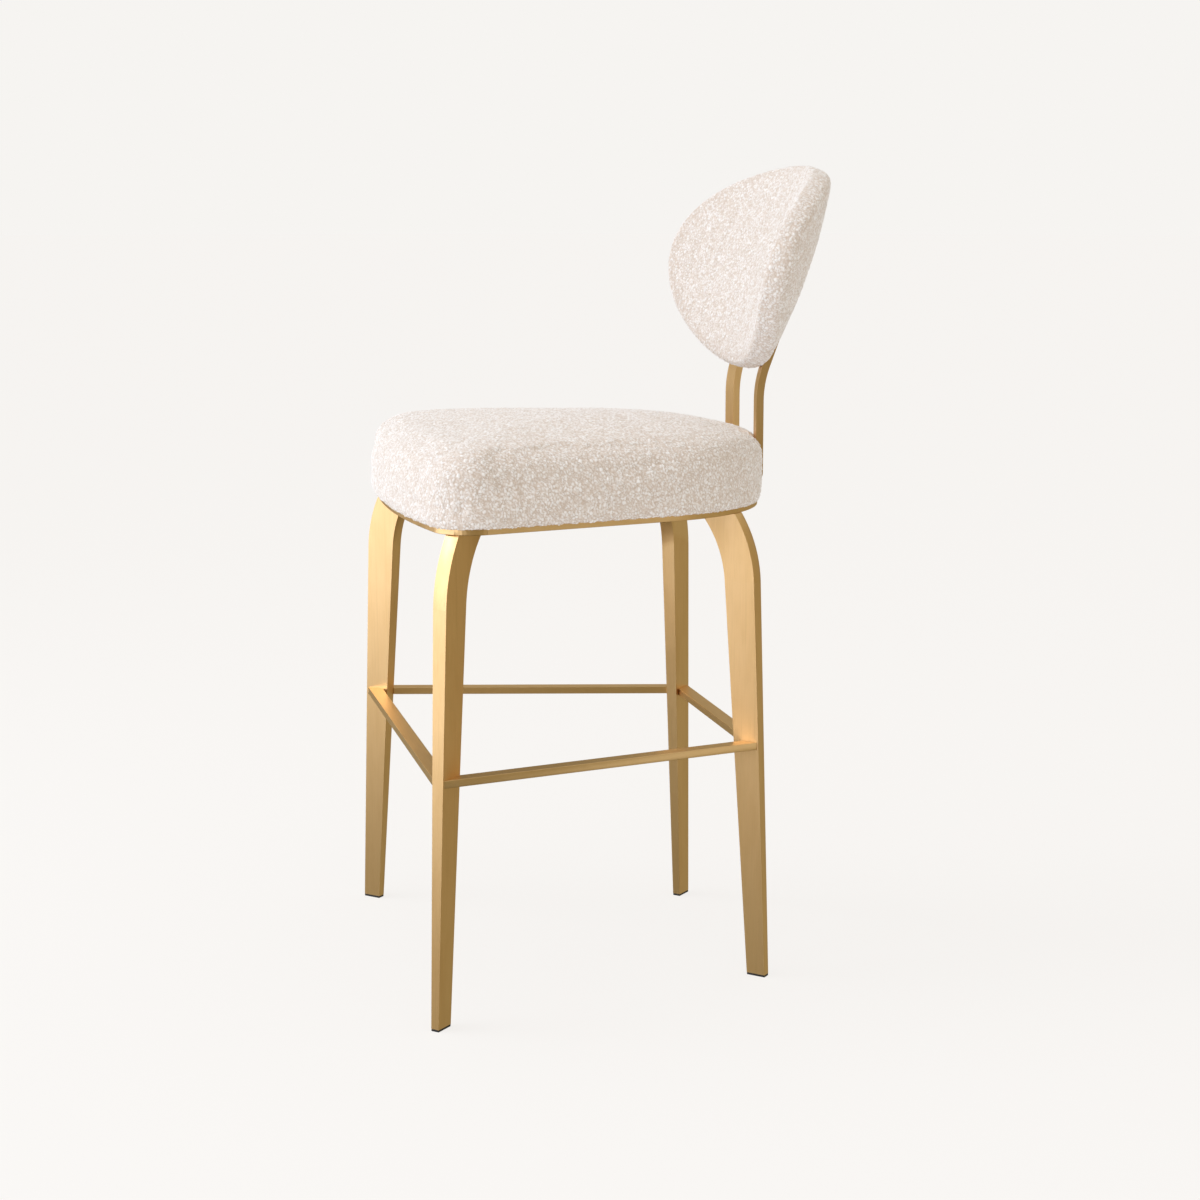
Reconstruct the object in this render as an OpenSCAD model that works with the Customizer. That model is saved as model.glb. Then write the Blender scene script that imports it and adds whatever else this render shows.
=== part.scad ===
// Bar stool: an upholstered seat and a curved back pad on a brass-finished steel frame.
// The stool faces -Y and stands on z = 0. Plan shapes are drawn round the centre of the
// seat's rear arc, and place() moves them so that the whole stool is centred on the origin.

/* [Heights] */
// Height of the underside of the seat frame above the floor
frame_z = 634; // [560:1:780]
// Height of the top of the footrest bars above the floor
footrest_z = 327; // [240:1:420]
// Height of the middle of the back pad above the underside of the seat frame
pad_rise = 317; // [270:1:390]

/* [Seat outline] */
// Depth of the seat frame from its front bar to its rear arc
seat_depth = 513; // [420:1:620]
// Radius of the round rear end of the seat frame
seat_rear_r = 222; // [180:1:270]
// Angle between each side of the seat and straight ahead
side_taper = 13.5; // [8:0.5:18]
// Radius of the gentle curve of the front edge
front_bow_r = 1280; // [900:10:2000]
// Radius of the two front corners
corner_r = 50; // [46:1:62]

/* [Seat frame] */
// Width of the flat bar of the seat rim
rim_w = 25; // [20:1:32]
// Thickness of every flat bar of the frame
bar_t = 10; // [8:0.5:12]
// Width of the footrest bars
footrest_w = 20; // [14:1:26]
// How far the outer edge of a footrest bar stays inside the leg's outer corner
footrest_inset = 2; // [0:0.5:5]
// Length of a corner plate along the leg's diagonal
plate_l = 46; // [40:1:60]
// Width of a corner plate
plate_w = 76; // [66:1:90]
// Distance between the two screws of a corner plate
plate_pitch = 52; // [44:1:60]
// Distance from a leg's outer edge to the end of its corner plate
plate_tuck = 15; // [10:1:20]
// Distance from a corner plate's inner edge to the middle of its screws
plate_edge = 10.5; // [9:0.5:14]

/* [Legs] */
// Width of a leg along the diagonal, at the floor
leg_w_foot = 27; // [22:1:36]
// Width of a leg along the diagonal, where its bend starts
leg_w_top = 44; // [36:1:56]
// Thickness of a leg across the diagonal, at the floor
leg_t_foot = 11.5; // [9:0.5:16]
// Thickness of a leg across the diagonal, where its bend starts
leg_t_top = 20; // [16:0.5:26]
// Wall of the leg's tube
leg_wall = 2; // [1.5:0.25:2.5]
// Height of the bend below the seat frame
bend_h = 91; // [76:1:110]
// Radius of the bend's outer edge
bend_outer_r = 175; // [160:1:230]
// Radius of the bend's inner edge
bend_inner_r = 150; // [140:1:210]
// How far a front leg's foot stands out past the start of its bend
front_splay = 22; // [10:1:34]
// How far a rear leg's foot stands out past the start of its bend
rear_splay = 23.5; // [8:0.5:30]
// Sideways lean of a rear leg, in degrees: below zero its foot stands out to the side
rear_lean = -0.55; // [-2:0.05:2]
// How far the top of a front leg stays inside the rim's corner
front_leg_inset = 3; // [0:0.5:6]
// Sideways shift of a front leg from the corner's diagonal
front_leg_shift = 4; // [0:0.5:6]
// How far the top of a rear leg stands out past the rim's arc
rear_leg_proud = 1; // [0:0.5:3]
// Sideways shift of a rear leg from its diagonal
rear_leg_shift = 3; // [0:0.5:6]
// Height of the plastic glide that shows under each leg
glide_h = 3; // [2.5:0.5:8]
// Length of the glide's plug inside the leg
plug_l = 20; // [12:1:30]
// Gap between the plug and the leg's inner wall
plug_gap = 0.2; // [0.1:0.05:0.3]

/* [Seat cushion] */
// Thickness of the plywood seat board
board_t = 15; // [12:0.5:20]
// How far the board stays inside the rim's outline
board_inset = 6; // [4:0.5:9]
// Height of the cushion's edge above the rim
cushion_h = 96; // [80:1:116]
// Extra height of the cushion's middle
crown_h = 18; // [10:1:26]
// How far the cushion's side stands out past the rim
bulge = 9; // [4:0.5:11]
// Width of the roll along the cushion's top edge
roll_w = 44; // [30:1:50]
// Height of the roll along the cushion's top edge
roll_h = 36; // [28:1:44]
// Radius of the tuck along the cushion's bottom edge
tuck_r = 40; // [30:1:46]
// Thickness of the cover fabric
cover_t = 2.5; // [1.5:0.5:3.5]
// Thickness of the cover's hem under the board
hem_t = 1.5; // [1:0.25:2]
// Width of the cover's hem under the board
hem_w = 29; // [24:1:32]
// Thickness of the black dust cover
dust_t = 0.8; // [0.5:0.1:1.2]
// Gap between the dust cover and the rim's inner edge
dust_gap = 2; // [1:0.5:4]

/* [Back pad] */
// Width of the back pad, measured round its curve
pad_w = 526; // [440:2:640]
// Height of the back pad, measured along its slope
pad_h = 288; // [240:2:350]
// Radius of the pad's curve round the sitter
pad_bend_r = 417; // [350:1:520]
// Slope of the back, in degrees from upright
pad_recline = 19.5; // [12:0.5:24]
// Thickness of the pad at its edge
pad_t = 40; // [36:1:48]
// How far each face of the pad swells in the middle
pad_swell = 6.5; // [4:0.5:10]
// Fullness of the pad's edge: 1 is round, and lower values are squarer
pad_edge_power = 0.6; // [0.6:0.05:1]
// How far the top and bottom of the pad curve forward
pad_bow = 7; // [3:0.5:9]
// Thickness of the curved plywood board in the pad
pad_board_t = 9; // [7:0.5:10]
// How far that board stays inside the pad's edge
pad_board_inset = 24; // [20:1:36]

/* [Uprights] */
// Distance between the two uprights at the middle of the pad
upright_spread = 138; // [110:1:180]
// Width of the uprights' flat bar
upright_w = 25; // [18:1:30]
// How far an upright's rear face stands out past the rim
upright_proud = 5.6; // [3:0.2:6.4]
// Length of the upright's foot on the seat board
foot_l = 80; // [70:1:96]
// Inner radius of the bend above the foot
foot_bend_r = 6; // [4:0.5:8]
// Height of the upper bend's start above the underside of the seat frame
upright_bend_z = 141; // [125:1:170]
// Radius of the upper bend
upright_bend_r = 145; // [110:1:180]
// Distance from the pad's curved middle to the middle of the upright
upright_off = 15; // [14:0.5:17]
// How far the upright reaches above the middle of the pad
upright_top = 42; // [30:1:60]
// Distance between the two bolts in an upright's foot
foot_hole_pitch = 32; // [26:1:36]
// Height of the upper screw above the middle of the pad
pad_screw_z = 15; // [0:1:25]
// Distance between the two screws of an upright
pad_screw_pitch = 60; // [40:1:70]

/* [Fasteners] */
// Radius of a screw's shank
screw_r = 3; // [2.5:0.5:4]
// Radius of a screw's head
head_r = 5.5; // [5:0.5:7]
// Height of a screw's round head
head_h = 3.2; // [2.5:0.1:4]
// Clearance round a screw
screw_gap = 0.3; // [0.2:0.05:0.5]
// Radius of a T-nut's flange
flange_r = 9; // [8:0.5:11]
// Thickness of a T-nut's flange
flange_t = 1.2; // [1:0.1:2]
// Radius of a T-nut's barrel
barrel_r = 4.4; // [4.2:0.1:5.5]
// Length of a T-nut's barrel
barrel_l = 7; // [5:0.5:8]
// Clearance round pieces that are set into wood
set_gap = 0.1; // [0.05:0.05:0.3]
// Length of a staple's crown
staple_l = 10; // [8:1:13]
// Thickness of a staple's wire
staple_d = 0.7; // [0.5:0.1:1]
// Depth of a staple in the wood
staple_h = 7; // [5:0.5:9]
// Distance from the hem's edge to the staples that hold it
hem_staple_edge = 3; // [2:0.5:5]
// Distance from the hem's edge to the staples that hold the dust cover
dust_staple_edge = 6; // [4:0.5:9]
// Room round an upright in a cover's slit
cover_slit = 0.3; // [0.2:0.05:0.5]

/* [Hidden] */

brass = [0.80, 0.63, 0.36];
boucle = [0.93, 0.90, 0.86];
foam = [0.93, 0.84, 0.55];
wood = [0.78, 0.62, 0.42];
zinc = [0.72, 0.73, 0.74];
black = [0.08, 0.08, 0.08];

$fn = 64;
far = 2000;
eps = 0.01;

// Seat outline: a rear arc, two straight sides, two corner arcs and a bowed front
front_y = seat_rear_r - seat_depth;
front_c = [0, front_y + front_bow_r];
side_n = [cos(side_taper), sin(side_taper)];
side_d = [sin(side_taper), -cos(side_taper)];
corner_from = (seat_rear_r - corner_r) * side_n - front_c;
corner_along = corner_from * side_d;
corner_run = sqrt(corner_along ^ 2 - corner_from * corner_from + (front_bow_r - corner_r) ^ 2) - corner_along;
corner_c = (seat_rear_r - corner_r) * side_n + corner_run * side_d;
corner_end = atan2(corner_c.y - front_c.y, corner_c.x);
seat_mid_y = (front_y + seat_rear_r) / 2;

rim_top = frame_z + bar_t;
board_z = rim_top + hem_t;
board_top = board_z + board_t;
cushion_edge_z = rim_top + cushion_h;
hem_inset = board_inset + hem_w;
dust_inset = rim_w + dust_gap;
dust_top = rim_top - staple_d;
dust_z = dust_top - dust_t;
cover_staple_inset = hem_inset - hem_staple_edge;
dust_staple_inset = hem_inset + dust_staple_edge;

// Legs: [side, front, diagonal place of the top's outer edge, shift across, splay, lean]
front_top_r = (corner_c.x - corner_c.y) / sqrt(2) + corner_r - front_leg_inset;
front_across = (corner_c.x + corner_c.y) / sqrt(2) + front_leg_shift;
FRONT = [-45, front_top_r, front_across, front_splay, 0];
REAR = [45, seat_rear_r + rear_leg_proud, -rear_leg_shift, rear_splay, rear_lean];
bend_z = frame_z - bend_h;

// Uprights and pad: the pad's middle sits on the straight upper part of the uprights
pad_z = frame_z + pad_rise;
pad_a = pad_w / 2;
pad_b = pad_h / 2;
upright_turn = asin(upright_spread / 2 / (pad_bend_r + upright_off));
upright_arc_z = frame_z + upright_bend_z;
upright_mid_z = pad_z - upright_off * sin(pad_recline);
upright_back = upright_bend_r * (1 - cos(pad_recline))
    + (upright_mid_z - upright_arc_z - upright_bend_r * sin(pad_recline)) * tan(pad_recline);
upright_x = upright_spread / 2 - upright_back * sin(upright_turn);
upright_r = seat_rear_r + upright_proud - bar_t / 2;
upright_y = sqrt(upright_r ^ 2 - upright_x ^ 2);
pad_local_y = (pad_bend_r + upright_off) * cos(upright_turn) - pad_bend_r;
pad_y = upright_y + upright_back * cos(upright_turn) - pad_local_y * cos(pad_recline);
foot_holes = [for (k = [1, 2]) -foot_bend_r - bar_t - foot_hole_pitch * (k - 0.5)];
pad_screws = [pad_screw_z - pad_screw_pitch, pad_screw_z];
board_front_off = upright_off - bar_t / 2 - pad_board_t;

// Depth that a footrest bar's blank goes into a leg before the leg is cut out of it
bite = 1;
// How far a leg's outline runs on past its two ends before it is cut to height
under = 20;
over = 60;

// Counts of points round an upright's bends and round the soft shapes
bend_steps = 10;
rear_steps = 18;
corner_steps = 5;
front_steps = 5;
pad_steps = 36;

// Rearmost and frontmost points of the stool, which centre it on the origin
pad_rings = pad_shape(0);
rear_most = max([for (ring = pad_rings) for (p = ring)
    pad_y + p.y * cos(pad_recline) + p.z * sin(pad_recline)]);
front_most = min([for (p = seat_outline(-bulge)) p.y]);
plan_shift = -(rear_most + front_most) / 2;

function dir(a) = [cos(a), sin(a)];
function arc(c, r, a0, a1, n) = [for (i = [0:n]) c + r * dir(a0 + (a1 - a0) * i / n)];
function inner(points) = [for (i = [1:len(points) - 2]) points[i]];
function cross_at(p, d, q, e) = p + d * ((q - p) * [e.y, -e.x]) / (d * [e.y, -e.x]);

function seat_outline(inset, fine = 1) = concat(
    arc([0, 0], seat_rear_r - inset, side_taper, 180 - side_taper, rear_steps * fine),
    arc(flip_x(corner_c), corner_r - inset, 180 - side_taper, 180 - corner_end, corner_steps * fine),
    inner(arc(front_c, front_bow_r - inset, -180 - corner_end, corner_end, front_steps * fine)),
    arc(corner_c, corner_r - inset, corner_end, side_taper, corner_steps * fine));

// One level ring of the cushion, shrunk about the seat's middle by k
function seat_ring(inset, z, k = 1) =
    [for (p = seat_outline(inset)) [p.x * k, seat_mid_y + (p.y - seat_mid_y) * k, z]];

// Rings of the cushion: tuck, side, roll and crown, all moved inwards by c
function cushion_shape(c, low) = concat(
    [for (a = [-40, -20, 0]) seat_ring(tuck_r * (1 - cos(a)) - bulge + c,
        max(rim_top + tuck_r * (sin(a) + sin(40)), rim_top + low))],
    [for (a = [0:18:90]) seat_ring(roll_w * (1 - cos(a)) - bulge + c,
        cushion_edge_z - roll_h * (1 - sin(a)) - c * sin(a))],
    [for (k = [0.8, 0.6, 0.4, 0.2]) seat_ring(roll_w - bulge + c,
        cushion_edge_z + crown_h * (1 - k ^ 2) - c, k)]);

// A point of the pad: s round the curve, h up the slope and off behind the middle
function pad_point(s, h, off) = let (turn = s / pad_bend_r * 180 / PI)
    [(pad_bend_r + off) * sin(turn),
     (pad_bend_r + off) * cos(turn) - pad_bend_r - pad_bow * (h / pad_b) ^ 2,
     h];

// One ring of the pad, an ellipse taken in by cut and then shrunk by k
function pad_ring(cut, k, off) = [for (i = [0:pad_steps - 1])
    let (a = 360 * i / pad_steps, reach = norm([pad_a * cos(a), pad_b * sin(a)]), m = (1 - cut / reach) * k)
    pad_point(pad_a * cos(a) * m, pad_b * sin(a) * m, off)];

// A sine or cosine pushed outwards, which turns a round edge into a fuller one
function squared(v) = sign(v) * abs(v) ^ pad_edge_power;

// Rings of the pad from its rear face round its edge to its front face, moved inwards by c
function pad_shape(c) = let (r = pad_t / 2 - c, edge = pad_t / 2) concat(
    [for (k = [0.3, 0.6, 0.85]) pad_ring(edge, k, r + pad_swell * (1 - k ^ 2))],
    [for (a = [90:-22.5:-90]) pad_ring(edge - r * squared(cos(a)), 1, r * squared(sin(a)))],
    [for (k = [0.85, 0.6, 0.3]) pad_ring(edge, k, -r - pad_swell * (1 - k ^ 2))]);

// Seat frame and cushion

module place() {
    translate([0, plan_shift, 0]) children();
}

// Closed solid through rings of equal length, with a tip point at each end
module loft(rings, first_tip, last_tip) {
    n = len(rings[0]);
    m = len(rings);
    points = concat([for (ring = rings) each ring], [first_tip, last_tip]);
    sides = [for (i = [0:m - 2]) for (j = [0:n - 1]) let (a = i * n + j, b = i * n + (j + 1) % n)
        each [[a, b + n, b], [a, a + n, b + n]]];
    first_cap = [for (j = [0:n - 1]) [m * n, j, (j + 1) % n]];
    last_cap = [for (j = [0:n - 1]) [m * n + 1, (m - 1) * n + (j + 1) % n, (m - 1) * n + j]];
    polyhedron(points, concat(sides, first_cap, last_cap), convexity = 6);
}

// A plate of the seat's outline, with finer arcs than the cushion's
module slab(inset, low, high) {
    translate([0, 0, low]) linear_extrude(high - low) polygon(seat_outline(inset, 3));
}

module rim_ring() {
    difference() {
        slab(0, frame_z, rim_top);
        slab(rim_w, frame_z - 1, rim_top + 1);
        on_seat_screws() translate([0, 0, frame_z - 1]) cylinder(h = bar_t + 2, r = screw_r + screw_gap);
    }
}

// Everything in front of the two joints where the corners meet the straight sides
module rim_front_zone() {
    left = corner_c + far * side_n;
    zone = [[-left.x, left.y], [-corner_c.x, corner_c.y], corner_c, left, [far, -far], [-far, -far]];
    translate([0, 0, frame_z - 1]) linear_extrude(bar_t + 2) polygon(zone);
}

module side_rim() {
    difference() {
        rim_ring();
        rim_front_zone();
        translate([-far, -far, 0]) cube([far, 2 * far, far]);
    }
}

// A leg's outline in its own diagonal plane, taken in by c
module leg_profile(leg, c) {
    lean_out = atan(leg[3] / bend_z);
    lean_in = atan((leg[3] + leg_w_top - leg_w_foot) / bend_z);
    bend_r = leg_bend_r(leg);
    foot_r = bend_r + leg[3];
    outer_c = [bend_r, bend_z] - bend_outer_r * [cos(lean_out), sin(lean_out)];
    inner_c = [bend_r - leg_w_top, bend_z] - bend_inner_r * [cos(lean_in), sin(lean_in)];
    slip = under / bend_z;
    polygon([[foot_r + slip * leg[3] - c, -under],
             [bend_r - c, bend_z + eps],
             [bend_r - leg_w_top + c, bend_z + eps],
             [foot_r - leg_w_foot + slip * (leg[3] + leg_w_top - leg_w_foot) + c, -under]]);
    difference() {
        intersection() {
            translate(outer_c) circle(bend_outer_r - c, $fn = 180);
            translate([outer_c.x, bend_z]) square([far, bend_h + over]);
        }
        translate(inner_c) circle(bend_inner_r + c, $fn = 180);
    }
}

// The leg's shape across its diagonal plane, taken in by c
module leg_thickness(c) {
    foot = leg_t_foot / 2 - c;
    top = leg_t_top / 2 - c;
    slip = under / bend_z * (top - foot);
    polygon([[-foot + slip, -under], [foot - slip, -under], [top, bend_z], [top, frame_z + over],
             [-top, frame_z + over], [-top, bend_z]]);
}

module leg_place(leg) {
    rotate([0, 0, leg[0]]) translate([0, leg[2], 0]) children();
}

// A leg's whole tapered body between two heights, taken in by c
module leg_body(leg, c, low, high) {
    intersection() {
        leg_place(leg) translate([0, 0, frame_z]) rotate([leg[4], 0, 0]) translate([0, 0, -frame_z])
            intersection() {
                translate([0, leg_t_top, 0]) rotate([90, 0, 0])
                    linear_extrude(2 * leg_t_top) leg_profile(leg, c);
                rotate([90, 0, 90]) linear_extrude(far) leg_thickness(c);
            }
        translate([-far / 2, -far / 2, low]) cube([far, far, high - low]);
    }
}

module leg(leg) {
    color(brass) place() difference() {
        leg_body(leg, 0, glide_h, frame_z);
        leg_body(leg, leg_wall, glide_h - 1, frame_z - leg_wall);
    }
}

module glide(leg) {
    color(black) place() union() {
        leg_body(leg, 0, 0, glide_h);
        leg_body(leg, leg_wall + plug_gap, glide_h - eps, glide_h + plug_l);
    }
}

// Where a footrest bar's outer edge meets a leg: the leg's face on side s, just inside its corner
function leg_along(leg) = dir(leg[0]);
function leg_across(leg) = dir(leg[0] + 90);
function leg_bend_r(leg) = let (a = atan(leg[3] / bend_z), rise = bend_h + bend_outer_r * sin(a))
    leg[1] + bend_outer_r * cos(a) - sqrt(bend_outer_r ^ 2 - rise ^ 2);
function leg_outer_r(leg, z) = leg_bend_r(leg) + leg[3] * (1 - z / bend_z);
function leg_half_t(z) = (leg_t_foot + (leg_t_top - leg_t_foot) * z / bend_z) / 2;
function leg_shift(leg, z) = leg[2] + sin(leg[4]) * (frame_z - z);
function leg_corner(leg, s) = leg_along(leg) * (leg_outer_r(leg, footrest_z) - footrest_inset)
    + leg_across(leg) * (leg_shift(leg, footrest_z) + s * leg_half_t(footrest_z));
function flip_x(p) = [-p.x, p.y];

// A flat bar between two legs: its outer edge runs from p to q, and its ends follow the legs' faces
module stretcher(p, p_along, p_in, q, q_along, q_in) {
    d = (q - p) / norm(q - p);
    w = [-d.y, d.x] * footrest_w;
    p_end = p + p_in * bite;
    q_end = q + q_in * bite;
    corners = [cross_at(p, d, p_end, p_along), cross_at(q, d, q_end, q_along),
               cross_at(q + w, d, q_end, q_along), cross_at(p + w, d, p_end, p_along)];
    translate([0, 0, footrest_z - bar_t]) linear_extrude(bar_t) polygon(corners);
}

// The bar between a leg and its mirror image, on the leg's side s
module cross_stretcher(leg, s) {
    p = leg_corner(leg, s);
    along = leg_along(leg);
    in = -s * leg_across(leg);
    difference() {
        if (s < 0) stretcher(flip_x(p), flip_x(along), flip_x(in), p, along, in);
        else stretcher(p, along, in, flip_x(p), flip_x(along), flip_x(in));
        both_sides() leg_body(leg, 0, 0, frame_z);
    }
}

module side_stretcher() {
    difference() {
        stretcher(leg_corner(FRONT, 1), leg_along(FRONT), -leg_across(FRONT),
                  leg_corner(REAR, -1), leg_along(REAR), leg_across(REAR));
        leg_body(FRONT, 0, 0, frame_z);
        leg_body(REAR, 0, 0, frame_z);
    }
}

// Corner plates: welded inside the rim over each leg's top, with two screw holes
function plate_outer(leg) = leg[1] - plate_tuck;
function plate_hole(leg, s) = leg_along(leg) * (plate_outer(leg) - plate_l + plate_edge)
    + leg_across(leg) * (leg[2] + s * plate_pitch / 2);

module plate(leg) {
    color(brass) place() difference() {
        intersection() {
            leg_place(leg) translate([plate_outer(leg) - plate_l, -plate_w / 2, frame_z])
                cube([plate_l + far / 10, plate_w, bar_t]);
            slab(rim_w, frame_z, rim_top);
        }
        for (s = [-1, 1]) translate(plate_hole(leg, s))
            translate([0, 0, frame_z - 1]) cylinder(h = bar_t + 2, r = screw_r + screw_gap);
    }
}

module on_seat_screws() {
    for (leg = [FRONT, REAR]) for (s = [-1, 1]) for (m = [0, 1])
        mirror([m, 0, 0]) translate(plate_hole(leg, s)) children();
}

// The uprights' own plane: x is the bar's width, y runs backwards, z is up
module upright_place() {
    translate([upright_x, upright_y, 0]) rotate([0, 0, -upright_turn]) children();
}

// The straight upper part: origin at the pad's middle height, y square to the bar's rear face
module upright_upper() {
    upright_place() translate([0, upright_back, upright_mid_z]) rotate([-pad_recline, 0, 0]) children();
}

// The flat bar seen from its side: a foot, a tight bend, a straight stretch, a wide bend and the sloping top
module upright_profile() {
    h = bar_t / 2;
    foot_bend = [-h - foot_bend_r, board_top + bar_t + foot_bend_r];
    wide_bend = [upright_bend_r, upright_arc_z];
    top = [upright_back, upright_mid_z] + upright_top * [sin(pad_recline), cos(pad_recline)];
    side = h * [cos(pad_recline), -sin(pad_recline)];
    polygon(concat(
        [[-foot_l, board_top]],
        arc(foot_bend, foot_bend_r + bar_t, -90, 0, bend_steps),
        arc(wide_bend, upright_bend_r - h, 180, 180 - pad_recline, bend_steps),
        [top + side, top - side],
        arc(wide_bend, upright_bend_r + h, 180 - pad_recline, 180, bend_steps),
        arc(foot_bend, foot_bend_r, 0, -90, bend_steps),
        [[-foot_l, board_top + bar_t]]));
}

module upright_bar(extra = 0) {
    w = upright_w + 2 * extra;
    upright_place() rotate([90, 0, 90]) translate([0, 0, -w / 2]) linear_extrude(w) upright_profile();
}

// The part of an upright that a cover's slit goes round, with a little room
module upright_slit(low, high) {
    intersection() {
        for (y = [-cover_slit, cover_slit]) translate([0, y, 0]) upright_bar(cover_slit);
        translate([-far / 2, -far / 2, low]) cube([far, far, high - low]);
    }
}

module both_sides() {
    children();
    mirror([1, 0, 0]) children();
}

module on_foot_bolts() {
    both_sides() upright_place() for (y = foot_holes) translate([0, y, 0]) children();
}

// Screw axis along y, pointing into the pad, from the upright's rear face
module on_back_screws() {
    both_sides() upright_upper() for (z = pad_screws)
        translate([0, bar_t / 2, z]) rotate([90, 0, 0]) children();
}

module upright() {
    difference() {
        upright_bar();
        upright_place() for (y = foot_holes) translate([0, y, board_top - 1])
            cylinder(h = bar_t + 2, r = screw_r + screw_gap);
        upright_upper() for (z = pad_screws) translate([0, bar_t / 2, z]) rotate([90, 0, 0]) {
            translate([0, 0, -1]) cylinder(h = bar_t + 2, r = screw_r + screw_gap);
            csk_head(set_gap);
        }
    }
}

// Countersunk head that lies flush with z = 0
module csk_head(gap) {
    translate([0, 0, -eps]) cylinder(h = head_h + eps, r1 = head_r + gap, r2 = screw_r + gap);
}

// T-nut with its flange's outer face at z = 0 and its barrel upwards
module t_nut() {
    difference() {
        union() {
            cylinder(h = flange_t, r = flange_r);
            cylinder(h = barrel_l, r = barrel_r);
        }
        translate([0, 0, -1]) cylinder(h = barrel_l + 2, r = screw_r + set_gap);
    }
}

module t_nut_seat(through) {
    translate([0, 0, -1]) cylinder(h = flange_t + 1, r = flange_r + set_gap);
    cylinder(h = barrel_l + set_gap, r = barrel_r + set_gap);
    cylinder(h = through + 1, r = screw_r + screw_gap);
}

// Staples: a crown below the board and two legs up into it
module staple(crown_z) {
    top = board_z + staple_h;
    translate([-staple_l / 2, -staple_d / 2, crown_z]) cube([staple_l, staple_d, staple_d]);
    for (x = [-staple_l / 2, staple_l / 2 - staple_d])
        translate([x, -staple_d / 2, crown_z]) cube([staple_d, staple_d, top - crown_z]);
}

// Staples round the seat outline at one inset: on the rear arc, the sides and the front
module on_staple_places(inset) {
    for (a = [20, 62, 90, 118, 160]) rotate([0, 0, a])
        translate([seat_rear_r - inset, 0, 0]) rotate([0, 0, 90]) children();
    for (m = [0, 1]) mirror([m, 0, 0]) for (t = [0.2:0.18:0.74])
        translate((seat_rear_r - inset) * side_n + side_d * corner_run * t)
            rotate([0, 0, side_taper + 90]) children();
    for (a = [-6:3:6]) translate(front_c + (front_bow_r - inset) * dir(a - 90)) rotate([0, 0, a]) children();
}

module front_left_leg() { leg(FRONT); }
module front_right_leg() { mirror([1, 0, 0]) leg(FRONT); }
module rear_left_leg() { leg(REAR); }
module rear_right_leg() { mirror([1, 0, 0]) leg(REAR); }

module front_left_glide() { glide(FRONT); }
module front_right_glide() { mirror([1, 0, 0]) glide(FRONT); }
module rear_left_glide() { glide(REAR); }
module rear_right_glide() { mirror([1, 0, 0]) glide(REAR); }

module front_footrest() { color(brass) place() cross_stretcher(FRONT, -1); }
module rear_stretcher() { color(brass) place() cross_stretcher(REAR, 1); }
module left_stretcher() { color(brass) place() side_stretcher(); }
module right_stretcher() { mirror([1, 0, 0]) left_stretcher(); }

module front_rim() {
    color(brass) place() intersection() {
        rim_ring();
        rim_front_zone();
    }
}
module left_rim() { color(brass) place() side_rim(); }
module right_rim() { mirror([1, 0, 0]) left_rim(); }

module front_left_plate() { plate(FRONT); }
module front_right_plate() { mirror([1, 0, 0]) plate(FRONT); }
module rear_left_plate() { plate(REAR); }
module rear_right_plate() { mirror([1, 0, 0]) plate(REAR); }

module left_upright() { color(brass) place() upright(); }
module right_upright() { mirror([1, 0, 0]) left_upright(); }

module seat_board() {
    color(wood) place() difference() {
        slab(board_inset, board_z, board_top);
        on_seat_screws() translate([0, 0, board_top]) mirror([0, 0, 1]) t_nut_seat(board_t);
        on_foot_bolts() translate([0, 0, board_z]) t_nut_seat(board_t);
        on_staple_places(cover_staple_inset) staple(rim_top - staple_d);
        on_staple_places(dust_staple_inset) staple(dust_z - staple_d);
    }
}

module seat_foam() {
    color(foam) place() difference() {
        loft(cushion_shape(cover_t, hem_t), [0, seat_mid_y, board_z],
             [0, seat_mid_y, cushion_edge_z + crown_h - cover_t]);
        slab(board_inset, board_z - 1, board_top);
        both_sides() upright_bar();
        on_foot_bolts() translate([0, 0, board_top])
            cylinder(h = bar_t + head_h + set_gap, r = head_r + set_gap);
    }
}

module seat_cover() {
    color(boucle) place() difference() {
        loft(cushion_shape(0, 0), [0, seat_mid_y, rim_top], [0, seat_mid_y, cushion_edge_z + crown_h]);
        loft(cushion_shape(cover_t, hem_t), [0, seat_mid_y, board_z],
             [0, seat_mid_y, cushion_edge_z + crown_h - cover_t]);
        slab(hem_inset, rim_top - 1, board_z + 1);
        both_sides() upright_slit(board_top, far);
        on_seat_screws() translate([0, 0, rim_top - 1]) cylinder(h = hem_t + 2, r = screw_r + screw_gap);
        on_staple_places(cover_staple_inset) staple(rim_top - staple_d);
    }
}

module dust_cover() {
    color(black) place() difference() {
        slab(dust_inset, dust_z, dust_top);
        for (leg = [FRONT, REAR]) both_sides() leg_place(leg)
            translate([plate_outer(leg) - plate_l - dust_gap, -plate_w / 2 - dust_gap, frame_z])
                cube([far / 10, plate_w + 2 * dust_gap, 2 * bar_t]);
        on_staple_places(dust_staple_inset) staple(dust_z - staple_d);
    }
}

module seat_screws() {
    color(zinc) place() on_seat_screws() {
        translate([0, 0, frame_z - head_h]) cylinder(h = head_h, r = head_r);
        translate([0, 0, frame_z - eps]) cylinder(h = bar_t + hem_t + board_t - 1, r = screw_r);
    }
}

module seat_t_nuts() {
    color(zinc) place() on_seat_screws() translate([0, 0, board_top]) mirror([0, 0, 1]) t_nut();
}

module foot_bolts() {
    color(zinc) place() on_foot_bolts() {
        translate([0, 0, board_top + bar_t]) cylinder(h = head_h, r = head_r);
        translate([0, 0, board_z + 1]) cylinder(h = board_t + bar_t - 1 + eps, r = screw_r);
    }
}

module foot_t_nuts() {
    color(zinc) place() on_foot_bolts() translate([0, 0, board_z]) t_nut();
}

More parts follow.
